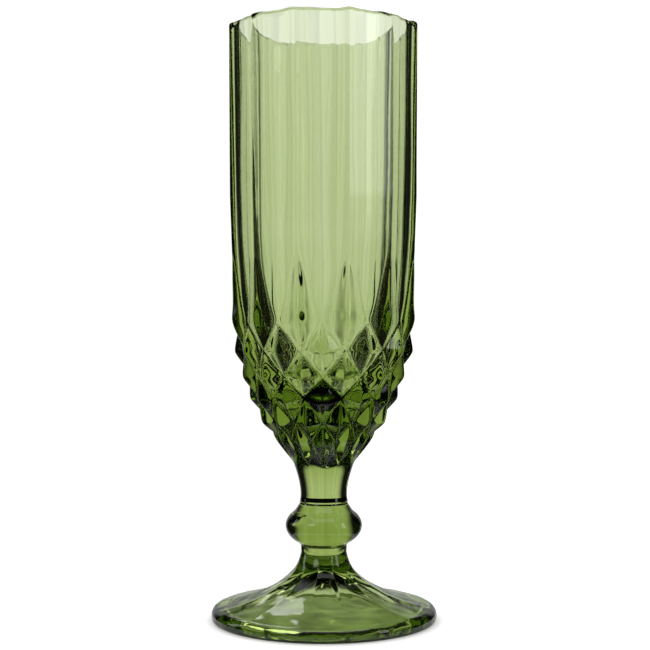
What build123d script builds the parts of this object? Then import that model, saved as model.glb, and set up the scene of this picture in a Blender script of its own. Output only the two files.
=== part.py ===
from build123d import *

import os
from math import acos, cos, degrees, radians, sin

# A champagne flute of pressed green glass: a twelve-sided bowl cut with diamonds, a knop, a foot.
#
# Millimetres. The origin is the centre of the circle that the foot rests on, and +Z points up.
# Heights are measured from the table, radii from the axis of the glass.

# Driving dimensions

HEIGHT = 200.0
SIDES = 12
SECTOR = 360.0 / SIDES
HALF_SECTOR = SECTOR / 2

# The flat panels of the bowl: radii are measured to the ridges between the panels.
RIM_RIDGE_RADIUS = 32.4
PANEL_BEND_Z = 142.0
PANEL_BEND_RIDGE_RADIUS = 32.1
WAIST_Z = 124.0
WAIST_RIDGE_RADIUS = 31.4
RIM_ROUNDING = 1.0

# The rows of diamonds from the top down: height of the hollows, height of the points, radius at
# the points, radius at the hollows. Each row is turned by half a sector from the row above it.
DIAMOND_ROWS = [
    (100.2, 100.2, 32.0, 28.6),
    (91.4, 90.6, 30.8, 27.3),
    (83.0, 82.2, 28.5, 24.9),
    (75.6, 74.6, 25.4, 22.8),
    (67.6, 66.8, 21.8, 18.3),
    (61.3, 61.0, 16.8, 14.6),
]
# Below the last row the points and hollows run together, inside the round neck.
ROW_END = (50.0, 50.0, 7.6, 7.6)

# The hollow that holds the drink: a slightly tapered wall, closing in to a thick, solid base. The
# flank is radius and height of the points that its lower curve passes through.
MOUTH_RADIUS = 28.7
SHOULDER_Z = 130.0
SHOULDER_RADIUS = 27.2
HOLLOW_FLANK = [(24.8, 105.0), (21.4, 90.0), (15.4, 80.0)]
HOLLOW_FLOOR_Z = 73.5
WALL_DIRECTION = (SHOULDER_RADIUS - MOUTH_RADIUS, SHOULDER_Z - HEIGHT)

# The solid neck under the bowl
NECK_TOP_Z = 60.0
NECK_TOP_RADIUS = 13.3
NECK_MID_Z = 52.0
NECK_MID_RADIUS = 9.9
NECK_WAIST_Z = 42.5
NECK_WAIST_RADIUS = 7.8

# The knop, and the two waist rings that it is fused along
UPPER_RING_Z = 39.8
LOWER_RING_Z = 25.2
UPPER_RING_RADIUS = 8.1
LOWER_RING_RADIUS = 7.8
KNOP_Z = 31.8
KNOP_RADIUS = 12.9
KNOP_HALF_HEIGHT = 7.7
# The ball's curve meets each collar where its radius has fallen to the ring's.
UPPER_ARC_ANGLE = degrees(acos(UPPER_RING_RADIUS / KNOP_RADIUS))
LOWER_ARC_ANGLE = degrees(acos(LOWER_RING_RADIUS / KNOP_RADIUS))
KNOP_BLEND = 3.0

# The foot: a round lower stem, twelve facets on top, a round edge and a conical hollow
# beneath, whose flank is radius and height of the points that it passes through. The foot is
# pressed in a mould of its own, and its facets stand turned a little from the bowl's panels.
FOOT_TURN = 4.5
LOWER_WAIST_Z = 22.8
LOWER_WAIST_RADIUS = 7.7
LOWER_STEM_END_Z = 15.0
LOWER_STEM_END_RADIUS = 10.0
FOOT_RADIUS = 37.9
FOOT_EDGE_HEIGHT = 4.8
FOOT_UPPER_ROUNDING = 2.6
FOOT_LOWER_ROUNDING = 1.5
FOOT_HOLLOW_RADIUS = 32.0
FOOT_HOLLOW_FLANK = [(4.0, 13.8), (8.0, 11.9), (16.0, 8.0), (24.0, 4.0)]
FOOT_HOLLOW_DEPTH = 15.0
FOOT_HOLLOW_EDGE_SLOPE = 0.5
# The facets from the stem outwards: height, radius at the ridges between them.
FACET_ROWS = [
    (19.5, 8.9),
    (15.5, 11.5),
    (11.4, 16.8),
    (7.6, 25.3),
    (4.8, 35.6),
    (2.0, 36.2),
]

RIDGE_ANGLES = [HALF_SECTOR + SECTOR * side for side in range(SIDES)]
PANEL_ANGLES = [SECTOR * side for side in range(SIDES)]


def at(angle, row_height, radius):
    """The point at this angle round the glass, in degrees, at this height and radius."""
    return Vector(radius * cos(radians(angle)), radius * sin(radians(angle)), row_height)


def facet(*corners):
    """A flat face between these corners."""
    return Face(Wire.make_polygon(corners, close=True))


def ring_of_panels(top, bottom):
    """The twelve flat panels between two twelve-sided rings, each given as height and ridge radius."""
    return [
        facet(
            at(angle, *top),
            at(angle + SECTOR, *top),
            at(angle + SECTOR, *bottom),
            at(angle, *bottom),
        )
        for angle in RIDGE_ANGLES
    ]


def spears(ridge_foot, row):
    """The long upper facets of the first row, and the pointed lower ends of the panels between them."""
    hollow_z, point_z, point_radius, hollow_radius = row
    faces = []
    for angle in RIDGE_ANGLES:
        tip = at(angle, *ridge_foot)
        next_tip = at(angle + SECTOR, *ridge_foot)
        point = at(angle, point_z, point_radius)
        next_hollow = at(angle + HALF_SECTOR, hollow_z, hollow_radius)
        last_hollow = at(angle - HALF_SECTOR, hollow_z, hollow_radius)
        faces += [
            facet(tip, point, next_hollow),
            facet(tip, last_hollow, point),
            facet(tip, next_hollow, next_tip),
        ]
    return faces


def diamond_facets(row, row_below, point_angles):
    """The lower facets of one row of diamonds and the upper facets of the row below it."""
    hollow_z, point_z, point_radius, hollow_radius = row
    below_hollow_z, below_point_z, below_point_radius, below_hollow_radius = row_below
    faces = []
    for angle in point_angles:
        for turn in (-HALF_SECTOR, HALF_SECTOR):
            point = at(angle, point_z, point_radius)
            hollow = at(angle + turn, hollow_z, hollow_radius)
            hollow_below = at(angle, below_hollow_z, below_hollow_radius)
            point_below = at(angle + turn, below_point_z, below_point_radius)
            faces += [
                facet(point, hollow, hollow_below),
                facet(hollow, point_below, hollow_below),
            ]
    return faces


def cut_glass_body():
    """The outside of the bowl as a solid of flat facets: panels above, rows of diamonds below."""
    rim = (HEIGHT, RIM_RIDGE_RADIUS)
    bend = (PANEL_BEND_Z, PANEL_BEND_RIDGE_RADIUS)
    waist = (WAIST_Z, WAIST_RIDGE_RADIUS)
    faces = ring_of_panels(rim, bend) + ring_of_panels(bend, waist)
    faces += spears(waist, DIAMOND_ROWS[0])
    rows = DIAMOND_ROWS + [ROW_END]
    for number, row in enumerate(DIAMOND_ROWS):
        point_angles = PANEL_ANGLES if number % 2 else RIDGE_ANGLES
        faces += diamond_facets(row, rows[number + 1], point_angles)
    end_z, _, end_radius, _ = ROW_END
    all_angles = sorted(PANEL_ANGLES + RIDGE_ANGLES)
    faces.append(facet(*[at(angle, HEIGHT, RIM_RIDGE_RADIUS) for angle in RIDGE_ANGLES]))
    faces.append(facet(*[at(angle, end_z, end_radius) for angle in all_angles]))
    return Solid(Shell(faces))


# The bowl: the cut glass body, its neck and the hollow for the drink

cut_glass = cut_glass_body()

with BuildPart() as bowl:
    add(cut_glass)
    with BuildSketch(Plane.XZ):
        with BuildLine():
            Polyline(
                (NECK_TOP_RADIUS, NECK_TOP_Z),
                (0, NECK_TOP_Z),
                (0, UPPER_RING_Z),
                (UPPER_RING_RADIUS, UPPER_RING_Z),
            )
            Spline(
                (UPPER_RING_RADIUS, UPPER_RING_Z),
                (NECK_WAIST_RADIUS, NECK_WAIST_Z),
                (NECK_MID_RADIUS, NECK_MID_Z),
                (NECK_TOP_RADIUS, NECK_TOP_Z),
            )
        make_face()
    revolve(axis=Axis.Z)
    with BuildSketch(Plane.XZ):
        with BuildLine():
            Polyline(
                (0, HOLLOW_FLOOR_Z),
                (0, HEIGHT),
                (MOUTH_RADIUS, HEIGHT),
                (SHOULDER_RADIUS, SHOULDER_Z),
            )
            Spline(
                (SHOULDER_RADIUS, SHOULDER_Z),
                *HOLLOW_FLANK,
                (0, HOLLOW_FLOOR_Z),
                tangents=[WALL_DIRECTION, (-1, 0)],
            )
        make_face()
    revolve(axis=Axis.Z, mode=Mode.SUBTRACT)
    fillet(bowl.edges().group_by(Axis.Z)[-1], RIM_ROUNDING)
bowl.part.label = "bowl"

# The knop: a flattened ball on the stem, with a short collar above and below

with BuildPart() as knop:
    with BuildSketch(Plane.XZ) as knop_profile:
        with BuildLine():
            ball = EllipticalCenterArc(
                (0, KNOP_Z),
                KNOP_RADIUS,
                KNOP_HALF_HEIGHT,
                start_angle=-LOWER_ARC_ANGLE,
                arc_size=LOWER_ARC_ANGLE + UPPER_ARC_ANGLE,
            )
            Polyline(
                ball @ 1,
                (UPPER_RING_RADIUS, UPPER_RING_Z),
                (0, UPPER_RING_Z),
                (0, LOWER_RING_Z),
                (LOWER_RING_RADIUS, LOWER_RING_Z),
                ball @ 0,
            )
        make_face()
        fillet(knop_profile.vertices().sort_by_distance(ball @ 1)[0], KNOP_BLEND)
    revolve(axis=Axis.Z)
knop.part.label = "knop"

# The foot: the lower stem, the twelve facets, the round edge and the hollow beneath

with BuildPart() as foot:
    with BuildSketch(Plane.XY):
        Circle(FOOT_RADIUS)
    extrude(amount=FOOT_EDGE_HEIGHT)
    fillet(foot.edges().group_by(Axis.Z)[-1], FOOT_UPPER_ROUNDING)
    fillet(foot.edges().group_by(Axis.Z)[0], FOOT_LOWER_ROUNDING)
    for facet_z, facet_radius in FACET_ROWS:
        with BuildSketch(Plane.XY.offset(facet_z)):
            RegularPolygon(facet_radius, SIDES, rotation=HALF_SECTOR + FOOT_TURN)
    loft()
    with BuildSketch(Plane.XZ):
        with BuildLine():
            Polyline(
                (LOWER_STEM_END_RADIUS, LOWER_STEM_END_Z),
                (0, LOWER_STEM_END_Z),
                (0, LOWER_RING_Z),
                (LOWER_RING_RADIUS, LOWER_RING_Z),
            )
            Spline(
                (LOWER_RING_RADIUS, LOWER_RING_Z),
                (LOWER_WAIST_RADIUS, LOWER_WAIST_Z),
                (LOWER_STEM_END_RADIUS, LOWER_STEM_END_Z),
            )
        make_face()
    revolve(axis=Axis.Z)
    with BuildSketch(Plane.XZ):
        with BuildLine():
            Polyline((FOOT_HOLLOW_RADIUS, 0), (0, 0), (0, FOOT_HOLLOW_DEPTH))
            Spline(
                (0, FOOT_HOLLOW_DEPTH),
                *FOOT_HOLLOW_FLANK,
                (FOOT_HOLLOW_RADIUS, 0),
                tangents=[(1, 0), (1, -FOOT_HOLLOW_EDGE_SLOPE)],
            )
        make_face()
    revolve(axis=Axis.Z, mode=Mode.SUBTRACT)
foot.part.label = "foot"

os.makedirs("parts", exist_ok=True)
export_step(bowl.part, "parts/bowl.step")
export_step(knop.part, "parts/knop.step")
export_step(foot.part, "parts/foot.step")
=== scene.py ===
import math

import bpy
import numpy as np
from mathutils import Matrix, Vector, noise


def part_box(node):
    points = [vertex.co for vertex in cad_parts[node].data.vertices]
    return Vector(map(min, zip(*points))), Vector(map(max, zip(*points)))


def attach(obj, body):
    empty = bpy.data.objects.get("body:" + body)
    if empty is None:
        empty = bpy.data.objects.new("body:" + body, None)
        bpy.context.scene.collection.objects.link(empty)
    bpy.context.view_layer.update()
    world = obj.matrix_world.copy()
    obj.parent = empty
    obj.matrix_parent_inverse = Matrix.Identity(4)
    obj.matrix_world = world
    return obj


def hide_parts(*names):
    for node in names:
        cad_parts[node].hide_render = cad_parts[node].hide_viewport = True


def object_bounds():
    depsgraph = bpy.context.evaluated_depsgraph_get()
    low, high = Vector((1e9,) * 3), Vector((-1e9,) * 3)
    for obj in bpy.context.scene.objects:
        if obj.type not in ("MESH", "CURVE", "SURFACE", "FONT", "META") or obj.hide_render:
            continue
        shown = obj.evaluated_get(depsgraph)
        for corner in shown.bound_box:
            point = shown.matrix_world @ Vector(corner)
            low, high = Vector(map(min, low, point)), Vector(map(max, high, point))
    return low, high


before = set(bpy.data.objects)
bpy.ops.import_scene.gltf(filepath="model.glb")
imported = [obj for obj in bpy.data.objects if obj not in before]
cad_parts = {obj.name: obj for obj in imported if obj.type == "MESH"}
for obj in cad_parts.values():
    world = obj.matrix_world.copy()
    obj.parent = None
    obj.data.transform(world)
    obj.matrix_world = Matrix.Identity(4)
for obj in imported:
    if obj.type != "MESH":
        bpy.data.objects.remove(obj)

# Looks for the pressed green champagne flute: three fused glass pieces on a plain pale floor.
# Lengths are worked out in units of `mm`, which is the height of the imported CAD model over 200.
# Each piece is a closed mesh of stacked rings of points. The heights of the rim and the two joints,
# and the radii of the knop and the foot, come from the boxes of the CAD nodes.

cad_low, cad_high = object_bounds()

# The frame: every size below is in these millimetres.
height = cad_high.z - cad_low.z
mm = height / 200.0
bowl_low, bowl_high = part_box("bowl")
knop_low, knop_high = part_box("knop")
foot_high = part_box("foot")[1]
rim_z = bowl_high.z / mm
upper_ring_z = (bowl_low.z + knop_high.z) / 2 / mm
lower_ring_z = (knop_low.z + foot_high.z) / 2 / mm
knop_radius = knop_high.x / mm
foot_radius = foot_high.x / mm

# Twelve sides, each of two half sectors. Each half sector is crossed by this many cells where the
# glass is cut, and by half as many where it is plain.
SIDES = 12
HALF_SECTORS = 2 * SIDES
CELLS = 20
PLAIN_CELLS = CELLS // 2
PANEL_ROWS = 14
SECTOR = 2 * math.pi / SIDES

# Each stretch of a curve is worked out in this many steps before its points are spread evenly.
CURVE_STEPS = 24

# The bowl, in millimetres: ridge radii of the panels, and the rows of diamonds from the top down
# as height of the hollows, height of the points, radius at the points, radius at the hollows. The
# points stand up to 0.2 proud of the CAD's, to make up for part of what the rounding takes off, and
# up to 0.3 lower, and the waist is 1 lower than the CAD's.
RIM_RIDGE = 32.4
PANEL_BEND_Z, PANEL_BEND_RIDGE = 142.0, 32.1
WAIST_Z, WAIST_RIDGE = 123.0, 31.4
DIAMOND_ROWS = [
    (100.2, 100.2, 32.1, 28.6),
    (91.4, 90.3, 31.0, 27.3),
    (83.0, 82.0, 28.7, 24.9),
    (75.6, 74.5, 25.6, 22.8),
    (67.6, 66.6, 22.0, 18.3),
    (61.3, 61.0, 17.0, 14.6),
]
ROW_END = (50.0, 50.0, 7.6, 7.6)

# How far the facets swell: all of them half way from their points, and then more along the edges
# that run from the points up to the hollows above them, and down to those below.
DOME = 0.1
UPPER_FACET_DOME, LOWER_FACET_DOME = 0.1, 0.25

# The edges between facets are rounded off over these shares of a facet. Ridges run up and down
# through the points and crests run level with them, with the fall from a crest; grooves are filled
# by the last figure along their middle.
RIDGE_ROUND = 0.16
CREST_ROUND, CREST_DROP = 0.10, 3.0
GROOVE_ROUND, GROOVE_FILL = 0.07, 0.16
SMOOTHING_PASSES = 2

# The ridges of the spears are rounded this many times as much. A spear is taken to be at least this
# share of its full width, so that its tip can be worked out too.
SPEAR_ROUNDING = 2.2
SPEAR_TIP = 0.05

# The neck as height and radius. It blends into the cut rows, and is plain from a little below them.
NECK = [(39.8, 8.1), (42.5, 7.8), (47.0, 8.4), (52.0, 9.9), (56.5, 11.8), (61.0, 13.9)]
NECK_ROWS = 40
NECK_BLEND = 0.5
NECK_BELOW_ROWS = 0.4

# The hollow: a tapered wall, then a flank that tapers on and closes in to a rounded floor.
MOUTH_RADIUS = 28.7
SHOULDER_Z, SHOULDER_RADIUS = 130.0, 27.2
HOLLOW_FLOOR_Z = 73.5
LOWER_TAPER = 0.09
BOTTOM_POWER = 5.0

# The rim is a rounded ridge of this height, a little squarer than half an ellipse. The rows of
# points are closer together over the lip, which reaches this far down inside.
RIM_ROUND = 1.5
RIM_POWER = 0.8
LIP_DEPTH = 4.0
RIM_ROWS, LIP_ROWS, WALL_ROWS, FLOOR_ROWS = 12, 8, 12, 32

# Waves of the lip: how many go round it, their height and where they start; how far the whole lip
# is lowered, so that few of them pass its full height; and how far down they reach.
RIM_WAVES = [(3, 0.10, 1.0), (7, 0.12, 3.0), (12, 0.16, 4.4), (19, 0.12, 0.5), (31, 0.08, 4.0)]
RIM_WAVE_DEPTH, RIM_WAVE_REACH = 0.30, 9.0

# The lip's inner edge has an uneven bead, left by fire polishing. Its waves are as for the lip: in
# its level, and in its strength, which is also greater towards +Y.
BEAD_BELOW_RIM, BEAD_WIDTH, BEAD_RISE = 1.0, 0.35, 0.5
BEAD_LEVEL_WAVES = [(7, 0.25, 1.0), (16, 0.15, 0.0)]
BEAD_STRENGTH, BEAD_STRENGTH_WAVES = 0.6, [(9, 0.5, 2.0), (14, 0.4, 0.0)]
BEAD_SIDE_STRENGTH, BEAD_SIDE_CHANGE = 0.65, 0.35

# Cords: faint streaks that run down the glass, as how wide and how deep they are. Heights are
# multiplied by the scale before the noise is read, which draws it out into long streaks. Then the
# seed and share of the depth on each side of the wall.
CORD_WIDTH, CORD_DEPTH, CORD_HEIGHT_SCALE = 3.2, 0.08, 0.05
CORD_SEED_STEP = 3.1
OUTSIDE_CORDS = (2, 0.3)
INSIDE_CORDS = (1, 1.0)

# Unevenness of the pressed surfaces: how wide, how deep, and the seed of each. It is drawn out
# upright as the cords are, and dies away nearer to the axis than the last radius.
OUTSIDE_WAVES = (9.0, 0.06, 1)
INSIDE_WAVES = (13.0, 0.16, 2)
KNOP_WAVES = (7.0, 0.08, 3)
FOOT_WAVES = (8.0, 0.07, 4)
FOOT_FINE_WAVES = (2.5, 0.05, 5)
WAVE_HEIGHT_SCALE = 0.45
WAVE_SEED_STEPS = (17.3, 5.1, 9.7)
UNEVEN_FROM_RADIUS = 4.0

# A point is pushed less in proportion where it is nearer to the axis than this.
PUSH_FROM_RADIUS = 1.0

# The knop, and the depth of the groove at each ring, just under the bowl and just under the knop
KNOP_Z, KNOP_HALF_HEIGHT = 31.8, 7.7
UPPER_RING_RADIUS, LOWER_RING_RADIUS = 8.1, 7.8
RING_GROOVE = 0.12

# The ball's arc ends short of the rings, at these shares of the angle up and down to them. A collar
# leads from it to the upper ring.
KNOP_ARC_UP, KNOP_ARC_DOWN = 0.80, 0.93
KNOP_COLLAR_Z, KNOP_COLLAR_RISE = 38.9, 0.25
KNOP_POINTS, KNOP_ROWS = 9, 72

# The foot: how far its facets are turned from the panels of the bowl, and its profile from the
# stem outwards, as height and distance to the middle of a facet
FOOT_TURN = math.radians(4.5)
FOOT_PROFILE = [
    (22.8, 7.65),
    (20.9, 8.15),
    (18.5, 9.1),
    (15.5, 11.1),
    (11.4, 16.2),
    (7.6, 24.4),
    (5.0, 34.0),
    (4.6, 36.5),
]

# The round edge of the foot, and the hollow beneath, which is a cone with very slightly bowed sides
FOOT_EDGE_HEIGHT = 4.8
FOOT_UPPER_ROUND, FOOT_LOWER_ROUND = 2.6, 1.5
FOOT_HOLLOW_RADIUS, FOOT_HOLLOW_DEPTH = 32.0, 15.3
FOOT_HOLLOW_POWER = 1.06

# How the foot's rows are laid: the slope, a collar under the lower ring, the edge, which is blended
# into the slope and starts a little past its end, the flat ring that it rests on, and the hollow.
FOOT_ROWS = 110
FOOT_COLLAR_DROP, FOOT_COLLAR_INSET = 0.6, 0.05
FOOT_EDGE_BLEND = 0.25
FOOT_EDGE_FIRST_TURN = 0.12
UPPER_EDGE_ROWS, LOWER_EDGE_ROWS = 10, 9
REST_RING_RADII = (35.4, 34.2, 33.0)
HOLLOW_INNER_RADIUS, HOLLOW_ROWS = 1.0, 40

# The stem turns from round to faceted from this radius outwards, over this much more.
FACET_FROM_RADIUS, FACET_FADE = 8.6, 2.4

# Ripples on the slope of the foot: how wide and how deep; from what radius and height, each with
# how soon they are full; and how far above the hollow a point counts as on top.
SLOPE_RIPPLE_SIZE, SLOPE_RIPPLE_DEPTH = 4.5, 0.12
SLOPE_FROM_RADIUS, SLOPE_RADIUS_FADE = 9.0, 6.0
SLOPE_FROM_Z, SLOPE_Z_FADE = 2.5, 2.0
ABOVE_HOLLOW = 1.5

# The mould seam, as an angle from the +X axis
SEAM_ANGLE = math.radians(-72.0)
SEAM_HEIGHT, SEAM_WIDTH = 0.12, 0.35

# Hidden faces of two fused pieces each stand back this far, so that a ray meets one, then the other.
FUSED_GAP = 0.01


def curve_through(points, count):
    """Points spread evenly along a smooth curve through these points (Catmull-Rom)."""
    p = np.array(points, float)
    p = np.vstack([2 * p[0] - p[1], p, 2 * p[-1] - p[-2]])
    fine = []
    for a, b, c, d in zip(p[:-3], p[1:-2], p[2:-1], p[3:]):
        for t in np.linspace(0, 1, CURVE_STEPS, endpoint=False):
            fine.append(
                0.5 * (2 * b + (c - a) * t + (2 * a - 5 * b + 4 * c - d) * t**2
                       + (3 * b - a - 3 * c + d) * t**3)
            )
    fine.append(p[-2])
    fine = np.array(fine)
    along = np.concatenate([[0], np.cumsum(np.linalg.norm(np.diff(fine, axis=0), axis=1))])
    steps = np.linspace(0, along[-1], count)
    return np.stack([np.interp(steps, along, fine[:, 0]), np.interp(steps, along, fine[:, 1])], 1)


def ring_points(ring):
    """The 24 corners of a ring, given as (height, radius) for panel middles and for ridges."""
    corners = []
    for i in range(HALF_SECTORS):
        z, radius = ring[i % 2]
        angle = 2 * math.pi * i / HALF_SECTORS
        corners.append((radius * math.cos(angle), radius * math.sin(angle), z))
    return np.array(corners)


def swelling(point, side, beyond, drop, dome):
    """How far outwards a point of a facet lies from the facet's plane.

    point, side and beyond are its weights at the raised point, at the hollow level with it and at
    the hollow above or below it. drop is how much nearer to the axis the level hollow is."""
    out = 4 * point * (DOME * (1 - point) + dome * beyond)
    # The rounding is full at the point and over most of the way to the hollows.
    inside = 1 - (1 - point) ** 3
    out -= inside * drop * (np.sqrt(side**2 + RIDGE_ROUND**2) - side)
    out -= inside * CREST_DROP * (np.sqrt(beyond**2 + CREST_ROUND**2) - beyond)
    return out + GROOVE_FILL * (np.sqrt(point**2 + GROOVE_ROUND**2) - point) / GROOVE_ROUND


def pushed(points, out, full_from=PUSH_FROM_RADIUS):
    """The points moved straight away from the axis by this much, or less inside a radius."""
    radius = np.hypot(points[..., 0], points[..., 1])
    share = 1 + out / np.maximum(radius, full_from)
    return points * np.stack([share, share, np.ones_like(share)], -1)


def strip(upper, lower, groove_from_even, dome_upper, dome_lower):
    """Rows of points between two rings of 24 corners, with a groove across each half sector.

    The grooves leave the even corners of the upper ring where groove_from_even is True.
    dome_upper swells the facets hanging from the upper ring and dome_lower those over the lower one."""
    top, bottom = ring_points(upper), ring_points(lower)
    down = np.arange(CELLS)[:, None] / CELLS + np.zeros((1, CELLS))
    out = []
    for i in range(HALF_SECTORS):
        j = (i + 1) % HALF_SECTORS
        from_left = (i % 2 == 0) == groove_from_even
        near, far = (i, j) if from_left else (j, i)
        across = np.arange(CELLS)[None, :] / CELLS + np.zeros((CELLS, 1))
        across = across if from_left else 1 - across
        hanging = facets(
            (top[far], top[near], bottom[far]), (across - down, 1 - across, down), dome_upper)
        standing = facets(
            (bottom[near], bottom[far], top[near]), (down - across, across, 1 - down), dome_lower)
        out.append(np.where((across >= down)[..., None], hanging, standing))
    return np.concatenate(out, axis=1)


def facets(corners, weights, dome):
    """The points of a facet with these weights at its three corners: point, level hollow, other."""
    weights = [np.clip(w, 0, 1) for w in weights]
    flat = sum(w[..., None] * corner for w, corner in zip(weights, corners))
    drop = np.hypot(*corners[0][:2]) - np.hypot(*corners[1][:2])
    return pushed(flat, swelling(*weights, drop, dome))


def spears(waist, ring):
    """Rows of points from the waist to the first ring of diamonds: a long facet each side of a ridge."""
    top, bottom = ring_points(waist), ring_points(ring)
    down = np.arange(CELLS)[:, None] / CELLS + np.zeros((1, CELLS))
    drop = ring[1][1] - ring[0][1]
    out = []
    for i in range(HALF_SECTORS):
        j = (i + 1) % HALF_SECTORS
        ridge, middle = (j, i) if i % 2 == 0 else (i, j)
        away = np.arange(CELLS)[None, :] / CELLS + np.zeros((CELLS, 1))
        away = 1 - away if i % 2 == 0 else away
        panel = (
            (away - down)[..., None] * top[middle] + (1 - away)[..., None] * top[ridge]
            + down[..., None] * bottom[middle])
        spear = (
            (down - away)[..., None] * bottom[ridge] + away[..., None] * bottom[middle]
            + (1 - down)[..., None] * top[ridge])
        flat = np.where((away >= down)[..., None], panel, spear)
        onto = np.clip(down - away, 0, 1)
        share = np.clip(onto / np.maximum(down, SPEAR_TIP), 0, 1)
        rounding = swelling(share, 1 - share, 0 * share, drop, 0.0)
        # It fades in from the tip of the spear and out again at the diamonds.
        out.append(pushed(flat, SPEAR_ROUNDING * rounding * down**2 * (1 - down**4)))
    return np.concatenate(out, axis=1)


def smoothed(grid):
    """The grid after a few passes of a small blur along its rows and columns, with its ends kept."""
    out = grid.copy()
    for _ in range(SMOOTHING_PASSES):
        out = 0.25 * np.roll(out, 1, axis=1) + 0.5 * out + 0.25 * np.roll(out, -1, axis=1)
        out[1:-1] = 0.25 * out[:-2] + 0.5 * out[1:-1] + 0.25 * out[2:]
    out[0], out[-1] = grid[0], grid[-1]
    return out


def round_rows(profile, cells=PLAIN_CELLS):
    """Rows of points on a surface of revolution, from (height, radius) pairs."""
    columns = HALF_SECTORS * cells
    angles = 2 * np.pi * np.arange(columns) / columns
    z, r = profile[:, 0][:, None], profile[:, 1][:, None]
    return np.stack([r * np.cos(angles), r * np.sin(angles), z + 0 * angles], 2)


def smooth_max(a, b, width):
    """The larger of two values, rounded where they cross."""
    h = np.clip(0.5 + 0.5 * (a - b) / width, 0, 1)
    return b + (a - b) * h + width * h * (1 - h)


def waviness(points, size, depth, seed):
    """A gentle radial unevenness, as pressed glass has, in millimetres."""
    out = np.zeros(len(points))
    shift = Vector([seed * step for step in WAVE_SEED_STEPS])
    for k, p in enumerate(points):
        out[k] = noise.noise(Vector((p[0], p[1], p[2] * WAVE_HEIGHT_SCALE)) / size + shift) * depth
    return out


def wavy(grid, size, depth, seed):
    """The grid with its points moved in or out by a gentle unevenness."""
    flat = grid.reshape(-1, 3)
    return pushed(flat, waviness(flat, size, depth, seed), UNEVEN_FROM_RADIUS).reshape(grid.shape)


def corded(grid, seed, share):
    """The grid with faint streaks down it, which bend the light like narrow upright lenses."""
    rise = np.zeros(grid.shape[:-1])
    shift = Vector((seed * CORD_SEED_STEP, 0, 0))
    for place in np.ndindex(rise.shape):
        x, y, z = grid[place]
        spot = Vector((x, y, z * CORD_HEIGHT_SCALE)) / CORD_WIDTH
        rise[place] = share * CORD_DEPTH * noise.noise(spot + shift)
    return pushed(grid, rise, UNEVEN_FROM_RADIUS)


def seamed(grid):
    """The grid with a low mould seam raised along its two sides, where the mould halves met."""
    angle = np.arctan2(grid[:, :, 1], grid[:, :, 0])
    radius = np.hypot(grid[:, :, 0], grid[:, :, 1])
    rise = np.zeros_like(radius)
    for line in (SEAM_ANGLE, SEAM_ANGLE + math.pi):
        away = np.angle(np.exp(1j * (angle - line))) * radius
        rise += SEAM_HEIGHT * np.exp(-((away / SEAM_WIDTH) ** 2))
    return pushed(grid, rise)


def ring_faces(first, upper, second, lower, fold=None):
    """The faces between two rings of points, of which one may have twice as many as the other.

    first and second are the numbers of the rings' first points and upper and lower how many each
    has. fold gives, for each half sector, whether the cells' diagonals fall from left to right."""
    faces = []
    if upper == lower:
        cells = upper // HALF_SECTORS
        for c in range(upper):
            n = (c + 1) % upper
            a, b, d, e = first + c, first + n, second + c, second + n
            if fold is None:
                faces.append((a, d, e, b))
            elif fold[c // cells]:
                faces += [(a, d, e), (a, e, b)]
            else:
                faces += [(a, d, b), (d, e, b)]
    elif lower == 2 * upper:
        for c in range(upper):
            a, b = first + c, first + (c + 1) % upper
            d, e, f = (second + (2 * c + k) % lower for k in range(3))
            faces += [(a, d, e), (a, e, b), (b, e, f)]
    else:
        for c in range(lower):
            d, f = second + c, second + (c + 1) % lower
            a, m, b = (first + (2 * c + k) % upper for k in range(3))
            faces += [(a, d, m), (m, d, f), (m, f, b)]
    return faces


def mesh_from(name, rings, folds, first_cap, last_cap, hidden_caps=()):
    """A closed mesh from a stack of rings of points, in millimetres.

    first_cap and last_cap are the middle points of its two ends. hidden_caps names the ends
    ("first", "last") that are fused to another piece."""
    starts = np.concatenate([[0], np.cumsum([len(ring) for ring in rings])]).astype(int)
    points = [tuple(p * mm) for ring in rings for p in ring]
    faces, smooth, slots = [], [], []

    def add(new, is_smooth=True, slot=0):
        """Keep these faces, with their shading and material slot."""
        faces.extend(new)
        smooth.extend([is_smooth] * len(new))
        slots.extend([slot] * len(new))

    for r in range(len(rings) - 1):
        fold = folds[r] if r < len(folds) else None
        add(ring_faces(starts[r], len(rings[r]), starts[r + 1], len(rings[r + 1]), fold))
    for cap, end, ring in (("first", first_cap, 0), ("last", last_cap, len(rings) - 1)):
        middle, count = len(points), len(rings[ring])
        points.append(tuple(c * mm for c in end))
        edges = [(starts[ring] + c, starts[ring] + (c + 1) % count) for c in range(count)]
        fan = [(a, b, middle) if cap == "first" else (b, a, middle) for a, b in edges]
        hidden = cap in hidden_caps
        add(fan, not hidden, int(hidden))
    mesh = bpy.data.meshes.new(name)
    mesh.from_pydata(points, [], [tuple(int(v) for v in face) for face in faces])
    mesh.polygons.foreach_set("material_index", slots)
    mesh.polygons.foreach_set("use_smooth", smooth)
    mesh.update()
    piece = bpy.data.objects.new(name, mesh)
    bpy.context.scene.collection.objects.link(piece)
    return piece


def panels(upper, lower, rows):
    """Rows of points straight from one ring of 24 corners to the next, not counting the last."""
    top, bottom = ring_points(upper), ring_points(lower)
    steps = (np.arange(rows) / rows)[:, None, None]
    across = (np.arange(CELLS) / CELLS)[None, :, None]
    out = []
    for i in range(HALF_SECTORS):
        j = (i + 1) % HALF_SECTORS
        over = top[i] * (1 - across) + top[j] * across
        under = bottom[i] * (1 - across) + bottom[j] * across
        out.append(over + steps * (under - over))
    return np.concatenate(out, axis=1)


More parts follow.
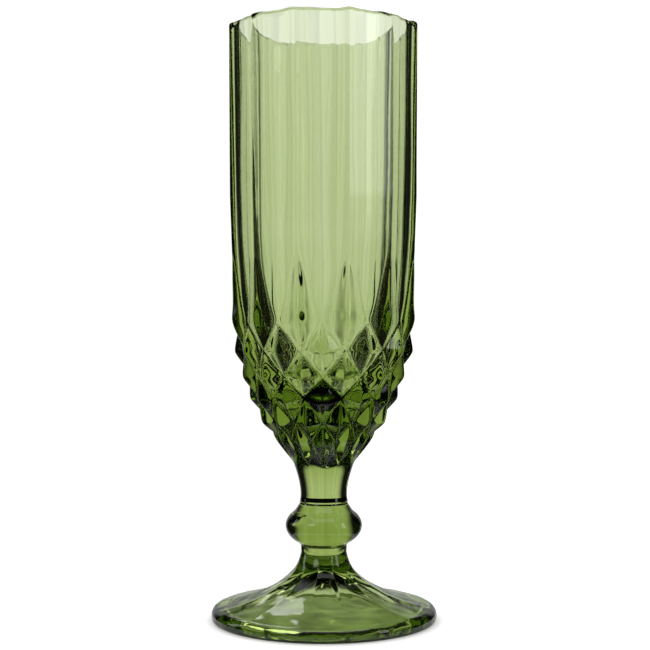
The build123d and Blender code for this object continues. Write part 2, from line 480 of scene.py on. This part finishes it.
def bowl_outside():
    """The cut outside of the bowl from just under the rim, and how its cells fold; then its neck."""
    middle = math.cos(math.pi / SIDES)
    rim, bend, waist = (
        ((z, ridge * middle), (z, ridge))
        for z, ridge in (
            (rim_z - RIM_ROUND, RIM_RIDGE), (PANEL_BEND_Z, PANEL_BEND_RIDGE), (WAIST_Z, WAIST_RIDGE))
    )
    upper = np.concatenate([panels(rim, bend, PANEL_ROWS), panels(bend, waist, PANEL_ROWS // 2)])
    folds = [None] * len(upper)
    cut, previous = [], waist
    for number, (hollow_z, point_z, point_r, hollow_r) in enumerate(DIAMOND_ROWS + [ROW_END]):
        hollow, point = (hollow_z, hollow_r), (point_z, point_r)
        ring = (hollow, point) if number % 2 == 0 else (point, hollow)
        if number == 0:
            cut.append(spears(previous, ring))
            folds += [[i % 2 == 1 for i in range(HALF_SECTORS)]] * CELLS
        else:
            low_dome = UPPER_FACET_DOME if number < len(DIAMOND_ROWS) else 0.0
            from_even = number % 2 == 1
            cut.append(strip(previous, ring, from_even, LOWER_FACET_DOME, low_dome))
            folds += [[(i % 2 == 0) == from_even for i in range(HALF_SECTORS)]] * CELLS
        previous = ring
    cut = smoothed(np.concatenate(cut))
    grid = np.concatenate([upper, cut])
    neck = curve_through(NECK, NECK_ROWS)
    radius = np.hypot(grid[:, :, 0], grid[:, :, 1])
    round_radius = np.interp(grid[:, :, 2], neck[:, 0], neck[:, 1])
    low = grid[:, :, 2] < neck[-1, 0]
    joined = np.where(low, smooth_max(radius, round_radius, NECK_BLEND), radius)
    grid[:, :, :2] *= (joined / radius)[:, :, None]
    lower_neck = neck[neck[:, 0] < ROW_END[0] - NECK_BELOW_ROWS][::-1]
    return grid, folds, round_rows(lower_neck)


def hollow_profile():
    """(height, radius) down the inside of the bowl, from the mouth to just off the floor's middle."""
    wall = [
        (z, np.interp(z, (SHOULDER_Z, rim_z), (SHOULDER_RADIUS, MOUTH_RADIUS)))
        for z in np.concatenate([
            np.linspace(rim_z - RIM_ROUND, rim_z - LIP_DEPTH, LIP_ROWS, endpoint=False),
            np.linspace(rim_z - LIP_DEPTH, SHOULDER_Z, WALL_ROWS, endpoint=False),
        ])
    ]
    depth = SHOULDER_Z - HOLLOW_FLOOR_Z
    low = []
    for t in np.linspace(0, math.pi / 2, FLOOR_ROWS, endpoint=False):
        down = math.sin(t)
        taper = SHOULDER_RADIUS - LOWER_TAPER * depth * down
        low.append((SHOULDER_Z - depth * down, taper * (1 - down**BOTTOM_POWER) ** 0.5))
    return np.array(wall + low)


def rim_rows(outer, inner):
    """Rows over the fire-polished rim, between its outer and inner rings."""
    middle, half = (outer + inner) / 2, (outer - inner) / 2
    rows = []
    for t in np.linspace(0, math.pi, RIM_ROWS + 2)[1:-1]:
        across = math.copysign(abs(math.cos(t)) ** RIM_POWER, math.cos(t))
        row = middle + half * across
        row[:, 2] = middle[:, 2] + RIM_ROUND * math.sin(t) ** RIM_POWER
        rows.append(row)
    return np.array(rows)


def around(waves, angle):
    """The sum of these waves round the glass, each as how many go round, its size and its start."""
    return sum(size * np.sin(times * angle + start) for times, size, start in waves)


def uneven_rim(rows):
    """The rows with a slightly wavy lip, as fire polishing leaves it, fading out below the rim."""
    angle = np.arctan2(rows[..., 1], rows[..., 0])
    rise = around(RIM_WAVES, angle)
    near = np.clip(1 - (rim_z - rows[..., 2]) / RIM_WAVE_REACH, 0, 1)
    out = rows.copy()
    out[..., 2] += (rise - RIM_WAVE_DEPTH) * near
    return out


def beaded(rows):
    """The inner rows with a low bead under the lip, which comes and goes around the rim."""
    out = rows.copy()
    angle = np.arctan2(rows[..., 1], rows[..., 0])
    radius = np.hypot(rows[..., 0], rows[..., 1])
    level = rim_z - BEAD_BELOW_RIM + around(BEAD_LEVEL_WAVES, angle)
    strength = np.clip(BEAD_STRENGTH + around(BEAD_STRENGTH_WAVES, angle), 0, 1)
    strength *= BEAD_SIDE_STRENGTH + BEAD_SIDE_CHANGE * np.sin(angle)
    rise = BEAD_RISE * strength * np.exp(-(((rows[..., 2] - level) / BEAD_WIDTH) ** 2))
    out[..., :2] *= (1 - rise / radius)[..., None]
    return out


def make_bowl():
    """The bowl: up its hollow, over the rim, and down its cut outside and the neck."""
    outside, folds, neck = bowl_outside()
    outside = corded(wavy(outside, *OUTSIDE_WAVES), *OUTSIDE_CORDS)
    hollow = hollow_profile()
    inside = beaded(corded(wavy(round_rows(hollow), *INSIDE_WAVES), *INSIDE_CORDS))
    lip = beaded(corded(wavy(round_rows(hollow[:1], CELLS), *INSIDE_WAVES), *INSIDE_CORDS))[0]
    over = rim_rows(outside[0], lip)
    # The bead carries on over the inner half of the rim.
    over[len(over) // 2:] = beaded(over[len(over) // 2:])
    rings = list(uneven_rim(inside[::-1])) + list(uneven_rim(over[::-1])) + list(uneven_rim(outside))
    folds = [None] * (len(inside) + len(over)) + folds
    neck[-1, :, 2] = upper_ring_z + FUSED_GAP
    return mesh_from(
        "bowl_glass", rings + list(neck), folds[:len(rings) - 1],
        (0, 0, HOLLOW_FLOOR_Z), (0, 0, upper_ring_z + FUSED_GAP), ("last",),
    )


def make_knop():
    """The ball on the stem, between the two rings."""
    start = math.acos(UPPER_RING_RADIUS / knop_radius) * KNOP_ARC_UP
    end = math.acos(LOWER_RING_RADIUS / knop_radius) * KNOP_ARC_DOWN
    ball = [
        (KNOP_Z + KNOP_HALF_HEIGHT * math.sin(t), knop_radius * math.cos(t))
        for t in np.linspace(start, -end, KNOP_POINTS)
    ]
    top = [
        (upper_ring_z - FUSED_GAP, UPPER_RING_RADIUS - RING_GROOVE),
        (KNOP_COLLAR_Z, UPPER_RING_RADIUS + KNOP_COLLAR_RISE),
    ]
    bottom = [(lower_ring_z + FUSED_GAP, LOWER_RING_RADIUS)]
    profile = curve_through(top + ball + bottom, KNOP_ROWS)
    grid = seamed(wavy(round_rows(profile, CELLS), *KNOP_WAVES))
    grid[0, :, 2], grid[-1, :, 2] = upper_ring_z - FUSED_GAP, lower_ring_z + FUSED_GAP
    return mesh_from(
        "knop_glass", list(grid), [], (0, 0, upper_ring_z - FUSED_GAP),
        (0, 0, lower_ring_z + FUSED_GAP), ("first", "last"),
    )


def facet_distance(radius, angle):
    """How far from the axis, square to its facet, a point of the foot lies."""
    local = (angle - FOOT_TURN) % SECTOR
    local = np.minimum(local, SECTOR - local)
    shown = np.clip((radius - FACET_FROM_RADIUS) / FACET_FADE, 0, 1)
    shown = shown * shown * (3 - 2 * shown)
    return radius * (1 + (np.cos(local) - 1) * shown)


def dimpled(grid):
    """The grid with the slope of the foot gently rippled up and down, as pressed glass cools."""
    out = grid.copy()
    for place in np.ndindex(out.shape[:2]):
        x, y, z = out[place]
        radius = math.hypot(x, y)
        outwards = min(max((radius - SLOPE_FROM_RADIUS) / SLOPE_RADIUS_FADE, 0), 1)
        upwards = min(max((z - SLOPE_FROM_Z) / SLOPE_Z_FADE, 0), 1)
        on_slope = outwards * upwards
        under = z < FOOT_HOLLOW_DEPTH * (1 - radius / FOOT_HOLLOW_RADIUS) + ABOVE_HOLLOW
        if on_slope > 0 and not under:
            spot = Vector((x, y, 0)) / SLOPE_RIPPLE_SIZE
            out[place][2] += SLOPE_RIPPLE_DEPTH * on_slope * noise.noise(spot)
    return out


def foot_slope(profile, edge_centre):
    """Rows of points down the faceted slope of the foot, onto the round edge."""
    angles = 2 * np.pi * np.arange(HALF_SECTORS * CELLS) / (HALF_SECTORS * CELLS)
    rows = []
    for radius in profile[:-2, 1]:
        z = np.interp(facet_distance(radius, angles), profile[:, 1], profile[:, 0])
        over = max(radius - edge_centre, 0)
        edge_z = FOOT_EDGE_HEIGHT - FOOT_UPPER_ROUND + math.sqrt(max(FOOT_UPPER_ROUND**2 - over**2, 0))
        z = smooth_max(z, np.full_like(z, edge_z), FOOT_EDGE_BLEND)
        rows.append(np.stack([radius * np.cos(angles), radius * np.sin(angles), z], 1)[None])
    return rows


def foot_underside(slope_end, edge_centre):
    """(height, radius) round the edge of the foot, over the ring it rests on and up the hollow."""
    past_centre = min((slope_end - edge_centre) / FOOT_UPPER_ROUND, 1)
    first = math.asin(past_centre) + FOOT_EDGE_FIRST_TURN
    upper = [
        (
            FOOT_EDGE_HEIGHT - FOOT_UPPER_ROUND * (1 - math.cos(t)),
            edge_centre + FOOT_UPPER_ROUND * math.sin(t),
        )
        for t in np.linspace(first, math.pi / 2, UPPER_EDGE_ROWS)
    ]
    lower = [
        (FOOT_LOWER_ROUND * (1 - math.sin(t)), foot_radius - FOOT_LOWER_ROUND * (1 - math.cos(t)))
        for t in np.linspace(0, math.pi / 2, LOWER_EDGE_ROWS)
    ]
    rest = [(0, radius) for radius in REST_RING_RADII]
    hollow = [
        (FOOT_HOLLOW_DEPTH * (1 - (radius / FOOT_HOLLOW_RADIUS) ** FOOT_HOLLOW_POWER), radius)
        for radius in np.linspace(FOOT_HOLLOW_RADIUS, HOLLOW_INNER_RADIUS, HOLLOW_ROWS)
    ]
    return np.array(upper + lower + rest + hollow)


def make_foot():
    """The foot: down its stem and slope, round its edge, and up the hollow beneath."""
    profile = curve_through(FOOT_PROFILE, FOOT_ROWS)
    edge_centre = foot_radius - FOOT_UPPER_ROUND
    collar = np.array([
        (lower_ring_z - FUSED_GAP, LOWER_RING_RADIUS - RING_GROOVE),
        (lower_ring_z - FOOT_COLLAR_DROP, LOWER_RING_RADIUS - FOOT_COLLAR_INSET),
    ])
    slope_end = profile[-3, 1]
    rows = [round_rows(collar, CELLS)] + foot_slope(profile, edge_centre)
    rows.append(round_rows(foot_underside(slope_end, edge_centre), CELLS))
    grid = wavy(wavy(np.concatenate(rows), *FOOT_WAVES), *FOOT_FINE_WAVES)
    grid = dimpled(seamed(grid))
    grid[0, :, 2] = lower_ring_z - FUSED_GAP
    return mesh_from(
        "foot_glass", list(grid), [], (0, 0, lower_ring_z - FUSED_GAP), (0, 0, FOOT_HOLLOW_DEPTH),
        ("first",),
    )


# Materials


def clear_tree(owner):
    """The empty node tree of a material or world."""
    owner.use_nodes = True
    owner.node_tree.nodes.clear()
    return owner.node_tree


def feed(tree, socket, value):
    """Link the value to the socket if it is another node's output, or else set it there."""
    if isinstance(value, bpy.types.NodeSocket):
        tree.links.new(value, socket)
    else:
        socket.default_value = value


def maths(tree, operation, *values):
    """The result of a maths node on these values."""
    made = tree.nodes.new("ShaderNodeMath")
    made.operation = operation
    for socket, value in zip(made.inputs, values):
        feed(tree, socket, value)
    return made.outputs[0]


def ramp(tree, value, between, onto, curve="LINEAR"):
    """The value, from between these two numbers onto those two and no further."""
    made = tree.nodes.new("ShaderNodeMapRange")
    made.interpolation_type = curve
    feed(tree, made.inputs["Value"], value)
    for key, number in zip(("From Min", "From Max", "To Min", "To Max"), (*between, *onto)):
        made.inputs[key].default_value = number
    return made.outputs[0]


def mixed(tree, kind, factor, first, second):
    """A mix of two values, from the first at a factor of 0 to the second at 1."""
    made = tree.nodes.new("ShaderNodeMix")
    made.data_type = kind
    factor_in, first_in, second_in = (
        next(s for s in made.inputs if s.name == name and s.enabled) for name in ("Factor", "A", "B"))
    feed(tree, factor_in, factor)
    feed(tree, first_in, first)
    feed(tree, second_in, second)
    return next(s for s in made.outputs if s.enabled)


def noise_pattern(tree, place, size, detail):
    """A noise pattern at this place, whose patches are about this many millimetres across."""
    pattern = tree.nodes.new("ShaderNodeTexNoise")
    pattern.inputs["Scale"].default_value = 1.0 / (size * mm)
    pattern.inputs["Detail"].default_value = detail
    tree.links.new(place, pattern.inputs["Vector"])
    return pattern.outputs[0]


def mirrored(tree):
    """1 for a ray that a glossy surface has reflected, and 0 for any other."""
    path = tree.nodes.new("ShaderNodeLightPath")
    return maths(tree, "MULTIPLY", path.outputs["Is Reflection Ray"], path.outputs["Is Glossy Ray"])


# Absorption per metre of red, green and blue in a flute 200 mm tall. The density only has to be
# over the largest of them.
ABSORPTION = (60.0, 46.0, 112.0)
ABSORPTION_DENSITY = 130.0
SURFACE_TINT = (0.883, 0.919, 0.830, 1.0)
GLASS_IOR = 1.52

# The skin of the glass, as width and height of its ripples and peel; and its haze, as the width of
# its patches, the noise where they start and are full, and the roughness where they are full.
RIPPLE_WIDTH, RIPPLE_HEIGHT = 5.0, 0.012
PEEL_WIDTH, PEEL_HEIGHT = 0.9, 0.0012
SKIN_DETAIL = 2.0
HAZE_WIDTH, HAZE_DETAIL = 14.0, 4.0
HAZE_NOISE, HAZE_ROUGHNESS = (0.52, 0.75), 0.02

# The foot is given a deeper colour than the rest, which matches the picture better.
FOOT_COLOUR_DEPTH = 1.2


def glass_volume(tree, out, depth):
    """Green glass all through; depth is how many times as deep in colour it is as the bowl's."""
    absorb = tree.nodes.new("ShaderNodeVolumeAbsorption")
    scale = 1.0 / (mm * 1000.0)
    absorb.inputs["Color"].default_value = (
        *[1 - a / ABSORPTION_DENSITY for a in ABSORPTION],
        1.0,
    )
    absorb.inputs["Density"].default_value = ABSORPTION_DENSITY * scale * depth
    tree.links.new(absorb.outputs[0], out.inputs["Volume"])


def skin_height(tree, place):
    """The chilled skin of pressed glass: slow ripples, and over them a much finer orange peel."""
    normal = None
    for size, depth in ((RIPPLE_WIDTH, RIPPLE_HEIGHT), (PEEL_WIDTH, PEEL_HEIGHT)):
        bump = tree.nodes.new("ShaderNodeBump")
        bump.inputs["Distance"].default_value = depth * mm
        tree.links.new(noise_pattern(tree, place, size, SKIN_DETAIL), bump.inputs["Height"])
        if normal is not None:
            tree.links.new(normal, bump.inputs["Normal"])
        normal = bump.outputs[0]
    return normal


def haze(tree, place):
    """Clear glass with patches of very faint haze, from handling and washing."""
    pattern = noise_pattern(tree, place, HAZE_WIDTH, HAZE_DETAIL)
    return ramp(tree, pattern, HAZE_NOISE, (0.0, HAZE_ROUGHNESS))


def glass_material(name, depth):
    """Pressed green glass, tinted through, with an uneven skin and patches of faint haze."""
    material = bpy.data.materials.new(name)
    tree = clear_tree(material)
    out = tree.nodes.new("ShaderNodeOutputMaterial")
    place = tree.nodes.new("ShaderNodeTexCoord").outputs["Object"]
    glass = tree.nodes.new("ShaderNodeBsdfPrincipled")
    glass.inputs["Transmission Weight"].default_value = 1.0
    glass.inputs["IOR"].default_value = GLASS_IOR
    glass.inputs["Base Color"].default_value = SURFACE_TINT
    tree.links.new(skin_height(tree, place), glass.inputs["Normal"])
    tree.links.new(haze(tree, place), glass.inputs["Roughness"])
    tree.links.new(glass.outputs[0], out.inputs["Surface"])
    glass_volume(tree, out, depth)
    return material


def fused_material(name, depth):
    """The hidden faces where two pieces are fused: light goes straight through, inside the glass."""
    material = bpy.data.materials.new(name)
    tree = clear_tree(material)
    out = tree.nodes.new("ShaderNodeOutputMaterial")
    clear = tree.nodes.new("ShaderNodeBsdfTransparent")
    tree.links.new(clear.outputs[0], out.inputs["Surface"])
    glass_volume(tree, out, depth)
    return material


stem_glass = (glass_material("green_pressed_glass", 1.0), fused_material("fused_joint", 1.0))
foot_glass = (
    glass_material("deep_green_pressed_glass", FOOT_COLOUR_DEPTH),
    fused_material("deep_fused_joint", FOOT_COLOUR_DEPTH),
)
makers = (
    (make_bowl, "bowl", stem_glass),
    (make_knop, "knop", stem_glass),
    (make_foot, "foot", foot_glass),
)
for maker, cad_node, materials in makers:
    piece = maker()
    for material in materials:
        piece.data.materials.append(material)
    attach(piece, "root")
    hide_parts(cad_node)


# The stage: floor, world, camera


# The pale field behind the glass, as the camera sees it: where it fades out to the sides and above,
# and where it begins ahead. It turns with the camera, so each view has the same field behind it.
BACKDROP_EDGE = (0.40, 0.66)
BACKDROP_TOP = (0.30, 0.50)
BACKDROP_DEPTH = (0.0, 0.35)

# Soft upright folds in the pale field: the scale of their noise, how much brighter they are, and
# the noise between which they rise. They are too bright for the camera to tell apart, but show
# through the glass as faint bands.
FOLDS, FOLD_BRIGHTNESS = 13.0, 0.17
FOLD_NOISE, FOLD_DETAIL = (0.35, 0.65), 1.0

# The soft boxes, which turn with the camera too: direction right, up and forward, half width, half
# height, strength; and the share of a box's size at which its soft edge starts and ends.
LIGHT_BOXES = [
    ((-0.20, 0.70, 0.69), 0.09, 0.22, 2.6),
    ((0.88, 0.30, -0.42), 0.13, 0.26, 2.2),
    ((-0.90, 0.32, 0.25), 0.10, 0.26, 1.6),
    ((-0.55, 0.50, -0.67), 0.15, 0.15, 2.5),
    ((0.0, 1.0, -0.15), 0.45, 0.45, 0.9),
]
BOX_EDGE = (0.85, 1.15)
AMBIENT = 0.015

# Reflections of the pale field and the floor are cut to this share, as a polarising filter would.
REFLECTED_SHARE = 0.4

# The floor glows, so that it stays as pale as the backdrop, and fades out into it. Its radius and
# where it fades are shares of the height of the glass, and it lies a little below the foot.
FLOOR_RADIUS, FLOOR_CORNERS = 3.0, 96
FLOOR_BELOW = 0.05
FLOOR_COLOUR = (0.9, 0.9, 0.9, 1.0)
FLOOR_GLOW = 0.85
FLOOR_FADE = (0.22, 0.32)

# Beneath the foot the glow is weaker and green: a painted shadow of the foot, with patchy painted light
# as if come down through the glass. It ends round the edge of the foot, at these shares of its radius,
# and turns white early on.
PAINTED_SHADE_GLOW_BENEATH = 0.26
BENEATH_EDGE = (0.92, 1.12)
PAINTED_LIGHT_BENEATH_COLOUR = (0.62, 0.85, 0.30, 1.0)
BENEATH_TURNS_WHITE = 0.15
BENEATH_PATCH, BENEATH_DETAIL = 11.0, 1.5
BENEATH_NOISE, BENEATH_RANGE = (0.3, 0.7), (0.35, 1.7)
WHITE = (1.0, 1.0, 1.0, 1.0)


def floor_material():
    """A pale glowing floor, with a painted shadow and patchy green painted light beneath the foot, that
    fades out further off.
    """
    material = bpy.data.materials.new("pale_floor")
    tree = clear_tree(material)
    link = tree.links.new
    place = tree.nodes.new("ShaderNodeTexCoord").outputs["Object"]
    length = tree.nodes.new("ShaderNodeVectorMath")
    length.operation = "LENGTH"
    link(place, length.inputs[0])
    away = length.outputs["Value"]

    edge = [share * foot_high.x for share in BENEATH_EDGE]
    # Painted shade: the glow is weaker beneath the foot and full past its edge.
    level = ramp(tree, away, edge, (PAINTED_SHADE_GLOW_BENEATH, FLOOR_GLOW), "SMOOTHSTEP")
    white_from = PAINTED_SHADE_GLOW_BENEATH + BENEATH_TURNS_WHITE * (FLOOR_GLOW - PAINTED_SHADE_GLOW_BENEATH)
    beyond = ramp(tree, level, (PAINTED_SHADE_GLOW_BENEATH, white_from), (0.0, 1.0))
    # Painted light: patches in the glow beneath the foot.
    pattern = noise_pattern(tree, place, BENEATH_PATCH, BENEATH_DETAIL)
    patchy = ramp(tree, pattern, BENEATH_NOISE, BENEATH_RANGE)
    strength = maths(tree, "MULTIPLY", level, mixed(tree, "FLOAT", beyond, patchy, 1.0))
    filtered = ramp(tree, mirrored(tree), (0.0, 1.0), (1.0, REFLECTED_SHARE))

    glow = tree.nodes.new("ShaderNodeEmission")
    # Painted green light beneath the foot, turning white further off.
    link(mixed(tree, "RGBA", beyond, PAINTED_LIGHT_BENEATH_COLOUR, WHITE), glow.inputs["Color"])
    link(maths(tree, "MULTIPLY", strength, filtered), glow.inputs["Strength"])
    diffuse = tree.nodes.new("ShaderNodeBsdfDiffuse")
    diffuse.inputs["Color"].default_value = FLOOR_COLOUR
    lit = tree.nodes.new("ShaderNodeAddShader")
    link(diffuse.outputs[0], lit.inputs[0])
    link(glow.outputs[0], lit.inputs[1])

    clear = tree.nodes.new("ShaderNodeBsdfTransparent")
    fading = tree.nodes.new("ShaderNodeMixShader")
    fade = [share * height for share in FLOOR_FADE]
    link(ramp(tree, away, fade, (0.0, 1.0), "SMOOTHSTEP"), fading.inputs[0])
    link(lit.outputs[0], fading.inputs[1])
    link(clear.outputs[0], fading.inputs[2])
    link(fading.outputs[0], tree.nodes.new("ShaderNodeOutputMaterial").inputs["Surface"])
    return material


def make_floor():
    """A round floor just under the foot."""
    mesh = bpy.data.meshes.new("floor")
    radius = FLOOR_RADIUS * height
    turns = np.linspace(0, 2 * math.pi, FLOOR_CORNERS, endpoint=False)
    mesh.from_pydata(
        [(radius * math.cos(t), radius * math.sin(t), 0) for t in turns], [], [tuple(range(FLOOR_CORNERS))])
    mesh.materials.append(floor_material())
    floor = bpy.data.objects.new("floor", mesh)
    floor.location.z = cad_low.z - FLOOR_BELOW * mm
    bpy.context.scene.collection.objects.link(floor)


def pale_field(tree, view):
    """How bright the field behind the glass is in a direction split into right, up and forward."""
    right, up, forward = view
    card = maths(
        tree, "MULTIPLY",
        ramp(tree, maths(tree, "ABSOLUTE", right), BACKDROP_EDGE, (1.0, 0.0), "SMOOTHSTEP"),
        ramp(tree, forward, BACKDROP_DEPTH, (0.0, 1.0), "SMOOTHSTEP"),
    )
    card = maths(tree, "MULTIPLY", card, ramp(tree, up, BACKDROP_TOP, (1.0, 0.0), "SMOOTHSTEP"))
    folds = tree.nodes.new("ShaderNodeTexNoise")
    folds.noise_dimensions = "1D"
    folds.inputs["Scale"].default_value = FOLDS
    folds.inputs["Detail"].default_value = FOLD_DETAIL
    tree.links.new(right, folds.inputs["W"])
    bands = ramp(tree, folds.outputs[0], FOLD_NOISE, (1.0, 1.0 + FOLD_BRIGHTNESS), "SMOOTHSTEP")
    card = maths(tree, "MULTIPLY", card, bands)
    filtered = ramp(tree, mirrored(tree), (0.0, 1.0), (1.0, REFLECTED_SHARE), "SMOOTHSTEP")
    return maths(tree, "MULTIPLY", card, filtered)


def along(tree, direction, axis):
    """How far the direction runs along this axis."""
    dot = tree.nodes.new("ShaderNodeVectorMath")
    dot.operation = "DOT_PRODUCT"
    dot.inputs[1].default_value = axis
    tree.links.new(direction, dot.inputs[0])
    return dot.outputs["Value"]


def light_box(tree, direction, towards, half_width, half_height):
    """1 inside a soft-edged box in the sky and 0 outside it."""
    centre = Vector(towards).normalized()
    right = Vector((0, 1, 0)).cross(centre).normalized()
    up = centre.cross(right)
    sides = []
    for axis, half in ((right, half_width), (up, half_height)):
        across = maths(tree, "ABSOLUTE", along(tree, direction, axis))
        sides.append(ramp(tree, across, [half * share for share in BOX_EDGE], (1.0, 0.0), "SMOOTHSTEP"))
    facing = maths(tree, "GREATER_THAN", along(tree, direction, centre), 0.0)
    return maths(tree, "MULTIPLY", maths(tree, "MULTIPLY", *sides), facing)


def make_world():
    """A bright field behind the glass as the camera sees it, dark sides, and a few soft boxes."""
    world = bpy.data.worlds.new("studio")
    bpy.context.scene.world = world
    tree = clear_tree(world)
    link = tree.links.new
    turn = tree.nodes.new("ShaderNodeVectorTransform")
    turn.vector_type = "VECTOR"
    turn.convert_from, turn.convert_to = "WORLD", "CAMERA"
    split = tree.nodes.new("ShaderNodeSeparateXYZ")
    link(tree.nodes.new("ShaderNodeTexCoord").outputs["Generated"], turn.inputs[0])
    link(turn.outputs[0], split.inputs[0])

    total = maths(tree, "MAXIMUM", pale_field(tree, split.outputs), AMBIENT)
    for towards, half_width, half_height, strength in LIGHT_BOXES:
        box = light_box(tree, turn.outputs[0], towards, half_width, half_height)
        total = maths(tree, "ADD", total, maths(tree, "MULTIPLY", box, strength))
    back = tree.nodes.new("ShaderNodeBackground")
    back.inputs["Color"].default_value = WHITE
    link(total, back.inputs["Strength"])
    link(back.outputs[0], tree.nodes.new("ShaderNodeOutputWorld").inputs["Surface"])


# The camera stands level with the middle of the glass, close to it and a little to its right, with
# a very slight roll and shift.
CAMERA_DISTANCE, CAMERA_Z = 461.0, 99.3
CAMERA_AZIMUTH = math.radians(0.85)
CAMERA_ROLL = math.radians(-0.05)
CAMERA_SHIFT = 0.002
FILM_WIDTH = 36.0
CLIP_NEAR, CLIP_FAR = 0.01, 20.0
# The focal length over the width of the picture
FOCAL_SHARE = 1364.0 / 650.0


def make_camera():
    """A camera that looks level at the glass."""
    data = bpy.data.cameras.new("camera")
    data.sensor_width = FILM_WIDTH
    data.lens = data.sensor_width * FOCAL_SHARE
    data.shift_x = CAMERA_SHIFT
    data.clip_start, data.clip_end = CLIP_NEAR, CLIP_FAR
    camera = bpy.data.objects.new("camera", data)
    away = CAMERA_DISTANCE * mm
    camera.location = (
        away * math.sin(CAMERA_AZIMUTH), -away * math.cos(CAMERA_AZIMUTH), CAMERA_Z * mm)
    turn = Matrix.Rotation(CAMERA_AZIMUTH, 4, "Z") @ Matrix.Rotation(math.pi / 2, 4, "X")
    camera.rotation_euler = (turn @ Matrix.Rotation(CAMERA_ROLL, 4, "Z")).to_euler()
    bpy.context.scene.collection.objects.link(camera)
    bpy.context.scene.camera = camera


make_floor()
make_world()
make_camera()

scene = bpy.context.scene
scene.view_settings.view_transform = "Standard"

# Enough bounces for light to cross the walls and facets of the glass
scene.cycles.max_bounces = 28
scene.cycles.transmission_bounces = 24
scene.cycles.transparent_max_bounces = 24
scene.cycles.glossy_bounces = 8
